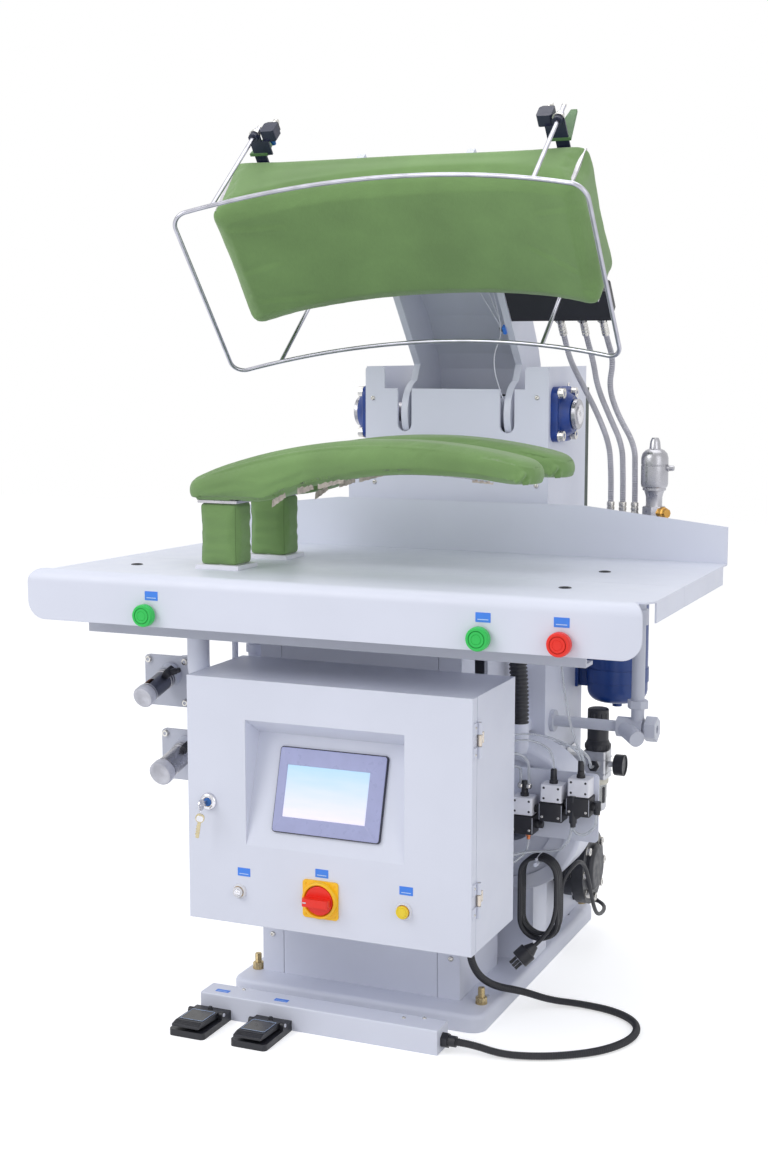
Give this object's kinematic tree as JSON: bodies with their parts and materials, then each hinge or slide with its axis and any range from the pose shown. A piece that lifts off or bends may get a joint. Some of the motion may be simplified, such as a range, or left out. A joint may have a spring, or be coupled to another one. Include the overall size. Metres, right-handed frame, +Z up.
{
  "type": "sleeve seam pressing machine",
  "caption": "Garment press for sleeve seams: padded head on a swing arm over two cantilever bucks, table with palm buttons, control cabinet, steam and air fittings, foot switches.",
  "frame": {"origin": "on the floor at the centre of the base frame's footprint", "axes": "+X to the operator's right, +Y from the operator into the machine, +Z up"},
  "size_m": [1.148, 0.95, 1.6429],
  "materials": {
    "body_paint": "textured powder coat",
    "frame_steel": "mill",
    "stainless": "satin",
    "white_paint": "satin",
    "dark_cover": "satin",
    "bearing_blue": "painted casting",
    "tank_blue": "gloss",
    "green_cloth": "woven cover cloth",
    "bracket_green": "satin",
    "black_plastic": "moulded",
    "valve_plastic": "moulded",
    "regulator_alloy": "cast",
    "black_rubber": "matte",
    "braided_hose": "braided",
    "cylinder_alloy": "anodised",
    "hinge_steel": "satin",
    "grey_plastic": "moulded",
    "yellow_plastic": "moulded",
    "key_steel": "polished",
    "red_plastic": "moulded",
    "white_plastic": "moulded",
    "green_plastic": "moulded",
    "needle_paint": "satin"
  },
  "bodies": {
    "machine_frame": {"base_frame": "body_paint", "column_frame": "body_paint", "column_covers": "body_paint", "blower_housing": "body_paint", "tower_front_plate": "body_paint", "tower_frame": "body_paint", "cabinet_box": "body_paint", "table_front": "body_paint", "table_rear": "body_paint", "pedal_bar": "body_paint", "suction_pipes": "body_paint", "table_frame": "frame_steel", "suction_valves": "frame_steel", "steam_pipework": "frame_steel", "angle_valve": "stainless", "buck_chambers": "stainless", "levelling_bolts": "stainless", "buck_posts": "white_paint", "tower_rear_cover": "dark_cover", "bearing_housings": "bearing_blue", "air_tank": "tank_blue", "buck_pads": "green_cloth", "post_covers": "green_cloth", "foot_switch_bases": "black_plastic", "conduit_glands": "black_plastic", "power_plug": "black_plastic", "air_gauge": "black_plastic", "steam_trap": "black_plastic", "suction_hose": "black_plastic", "solenoid_valves": "valve_plastic", "filter_regulator": "regulator_alloy", "foot_conduit": "black_rubber", "power_cord_coil": "black_rubber", "power_cord_lead": "black_rubber", "steam_hoses": "braided_hose", "cylinder_barrel": "cylinder_alloy", "cabinet_hinges": "hinge_steel", "control_gear": "grey_plastic"},
    "head": {"pivot_shaft": "stainless", "swing_arm": "body_paint", "head_platen": "stainless", "head_pad": "green_cloth", "guard_brackets": "bracket_green", "head_manifold": "black_plastic"},
    "guard": {"guard_loop": "stainless"},
    "cylinder_rod": {"cylinder_rod": "frame_steel"},
    "cabinet_door": {"cabinet_door": "body_paint", "operator_panel": "black_plastic", "door_fittings": "yellow_plastic"},
    "lock_key": {"lock_key": "key_steel"},
    "main_switch": {"main_switch_knob": "red_plastic"},
    "white_button": {"white_button": "white_plastic"},
    "yellow_button": {"yellow_button": "yellow_plastic"},
    "palm_left": {"palm_button_left": "green_plastic"},
    "palm_right": {"palm_button_right": "green_plastic"},
    "stop": {"stop_button": "red_plastic"},
    "treadle_left": {"treadle_left": "black_plastic"},
    "treadle_right": {"treadle_right": "black_plastic"},
    "regulator_knob": {"regulator_knob": "black_plastic"},
    "gauge_needle": {"gauge_needle": "needle_paint"}
  },
  "joints": [
    {"name": "head_swing", "type": "hinge", "parent": "machine_frame", "child": "head", "pos_m": [0.0325, 0.139, 1.092], "axis": [1, 0, 0], "range_deg": [0, 50]},
    {"name": "cylinder_stroke", "type": "slide", "parent": "machine_frame", "child": "cylinder_rod", "axis": [0, 0, 1], "range_m": [0, 0.1075]},
    {"name": "guard_slide", "type": "slide", "parent": "head", "child": "guard", "axis": [0, 0.766, 0.6428], "range_m": [0, 0.022]},
    {"name": "door_hinge", "type": "hinge", "parent": "machine_frame", "child": "cabinet_door", "pos_m": [0.2945, -0.488, 0.423], "axis": [0, 0, 1], "range_deg": [0, 110]},
    {"name": "key_turn", "type": "hinge", "parent": "cabinet_door", "child": "lock_key", "pos_m": [-0.21, -0.51, 0.419], "axis": [0, -1, 0], "range_deg": [0, 90]},
    {"name": "main_switch_turn", "type": "hinge", "parent": "cabinet_door", "child": "main_switch", "pos_m": [0.01, -0.51, 0.266], "axis": [0, -1, 0], "range_deg": [0, 90]},
    {"name": "white_button_press", "type": "slide", "parent": "cabinet_door", "child": "white_button", "axis": [0, 1, 0], "range_m": [0, 0.004], "stiffness_N_per_m": 400, "springref_m": -0.002},
    {"name": "yellow_button_press", "type": "slide", "parent": "cabinet_door", "child": "yellow_button", "axis": [0, 1, 0], "range_m": [0, 0.004], "stiffness_N_per_m": 400, "springref_m": -0.002},
    {"name": "palm_left_press", "type": "slide", "parent": "machine_frame", "child": "palm_left", "axis": [0, 1, 0], "range_m": [0, 0.005], "stiffness_N_per_m": 800, "springref_m": -0.002},
    {"name": "palm_right_press", "type": "slide", "parent": "machine_frame", "child": "palm_right", "axis": [0, 1, 0], "range_m": [0, 0.005], "stiffness_N_per_m": 800, "springref_m": -0.002},
    {"name": "stop_press", "type": "slide", "parent": "machine_frame", "child": "stop", "axis": [0, 1, 0], "range_m": [0, 0.005], "stiffness_N_per_m": 800, "springref_m": -0.002},
    {"name": "treadle_left_press", "type": "hinge", "parent": "machine_frame", "child": "treadle_left", "pos_m": [-0.227, -0.5, 0.02], "axis": [1, 0, 0], "range_deg": [0, 4], "stiffness_Nm_per_rad": 2, "springref_deg": -17.19},
    {"name": "treadle_right_press", "type": "hinge", "parent": "machine_frame", "child": "treadle_right", "pos_m": [-0.103, -0.5, 0.02], "axis": [1, 0, 0], "range_deg": [0, 4], "stiffness_Nm_per_rad": 2, "springref_deg": -17.19},
    {"name": "regulator_turn", "type": "hinge", "parent": "machine_frame", "child": "regulator_knob", "pos_m": [0.287, 0.247, 0.42], "axis": [0, 0, 1], "range_deg": [0, 360]},
    {"name": "gauge_pointer", "type": "hinge", "parent": "machine_frame", "child": "gauge_needle", "pos_m": [0.34, 0.247, 0.367], "axis": [-1, 0, 0], "range_deg": [0, 270], "stiffness_Nm_per_rad": 0.0005}
  ],
  "couplings": [
    {"joint": "cylinder_stroke", "follows": "head_swing", "m_per_rad": 0.12204}
  ]
}
